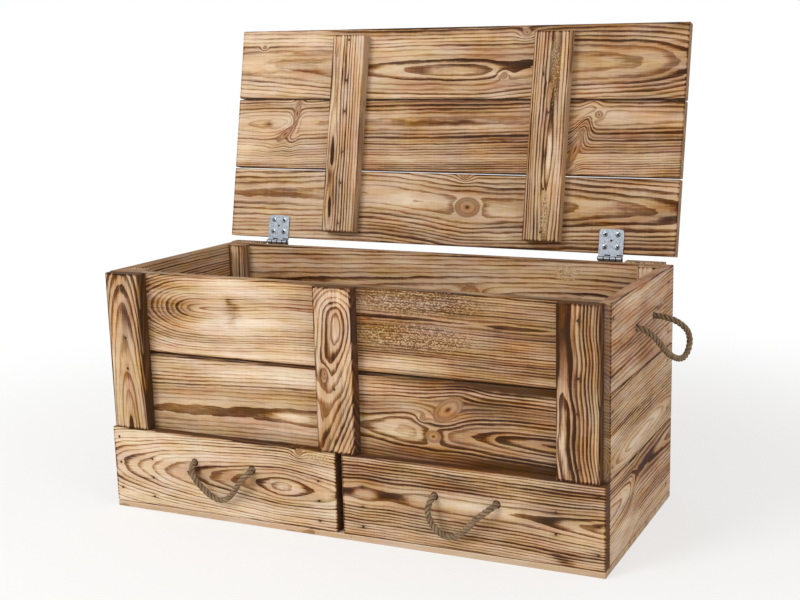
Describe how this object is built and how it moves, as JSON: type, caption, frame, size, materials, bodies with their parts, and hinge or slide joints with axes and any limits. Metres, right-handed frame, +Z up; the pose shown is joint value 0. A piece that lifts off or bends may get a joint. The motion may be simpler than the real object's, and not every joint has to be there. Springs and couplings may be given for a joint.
{
  "type": "kindling box",
  "caption": "Nailed board chest for kindling with a hinged lid that leans back when open, drawers along its foot and rope handles.",
  "frame": {"origin": "middle of the footprint of the chest's base, on the surface it stands on", "axes": "+Z up, front with the drawers towards -Y, +X to the right seen from the front; the lid at rest stands open"},
  "size_m": [0.9096, 0.4572, 0.7365],
  "materials": {
    "flamed_pine": "pine, flamed and brushed, burnt grain lines, matt",
    "plain_pine": "planed pine, untreated",
    "zinc": "zinc plated, satin",
    "nail_steel": "bright wire steel, a little tarnished",
    "rope": "laid jute rope, rough fibres"
  },
  "bodies": {
    "chest": {"base_boards": "flamed_pine", "side_left_board_1": "flamed_pine", "side_left_board_2": "flamed_pine", "side_left_board_3": "flamed_pine", "side_right_board_1": "flamed_pine", "side_right_board_2": "flamed_pine", "side_right_board_3": "flamed_pine", "front_board_lower": "flamed_pine", "front_board_upper": "flamed_pine", "back_board_1": "flamed_pine", "back_board_2": "flamed_pine", "back_board_3": "flamed_pine", "front_stile_left": "flamed_pine", "front_stile_middle": "flamed_pine", "front_stile_right": "flamed_pine", "back_stile_left": "flamed_pine", "back_stile_right": "flamed_pine", "corner_posts_front": "flamed_pine", "corner_post_back_left": "flamed_pine", "corner_post_back_right": "flamed_pine", "chest_floor": "plain_pine", "floor_cleats": "plain_pine", "bay_divider": "plain_pine", "drawer_guides": "plain_pine", "hinge_left_box_leaf": "zinc", "hinge_right_box_leaf": "zinc", "hinge_pins": "nail_steel", "hinge_box_screws": "zinc", "chest_nails": "nail_steel", "side_left_rope": "rope", "side_left_knots": "rope", "side_right_rope": "rope", "side_right_knots": "rope"},
    "lid": {"lid_board_1": "flamed_pine", "lid_board_2": "flamed_pine", "lid_board_3": "flamed_pine", "lid_batten_left": "flamed_pine", "lid_batten_right": "flamed_pine", "hinge_left_lid_leaf": "zinc", "hinge_right_lid_leaf": "zinc", "hinge_lid_screws": "zinc", "lid_nails": "nail_steel"},
    "drawer_left": {"drawer_left_front": "flamed_pine", "drawer_left_outer_side": "plain_pine", "drawer_left_inner_side": "plain_pine", "drawer_left_back": "plain_pine", "drawer_left_bottom": "plain_pine", "drawer_left_rope": "rope", "drawer_left_knots": "rope", "drawer_left_nails": "nail_steel"},
    "drawer_right": {"drawer_right_front": "flamed_pine", "drawer_right_outer_side": "plain_pine", "drawer_right_inner_side": "plain_pine", "drawer_right_back": "plain_pine", "drawer_right_bottom": "plain_pine", "drawer_right_rope": "rope", "drawer_right_knots": "rope", "drawer_right_nails": "nail_steel"}
  },
  "joints": [
    {"name": "lid_hinge", "type": "hinge", "parent": "chest", "child": "lid", "pos_m": [0, 0.1603, 0.3767], "axis": [1, 0, 0], "range_deg": [0, 99.4]},
    {"name": "drawer_left_slide", "type": "slide", "parent": "chest", "child": "drawer_left", "axis": [0, -1, 0], "range_m": [0, 0.24]},
    {"name": "drawer_right_slide", "type": "slide", "parent": "chest", "child": "drawer_right", "axis": [0, -1, 0], "range_m": [0, 0.24]}
  ]
}
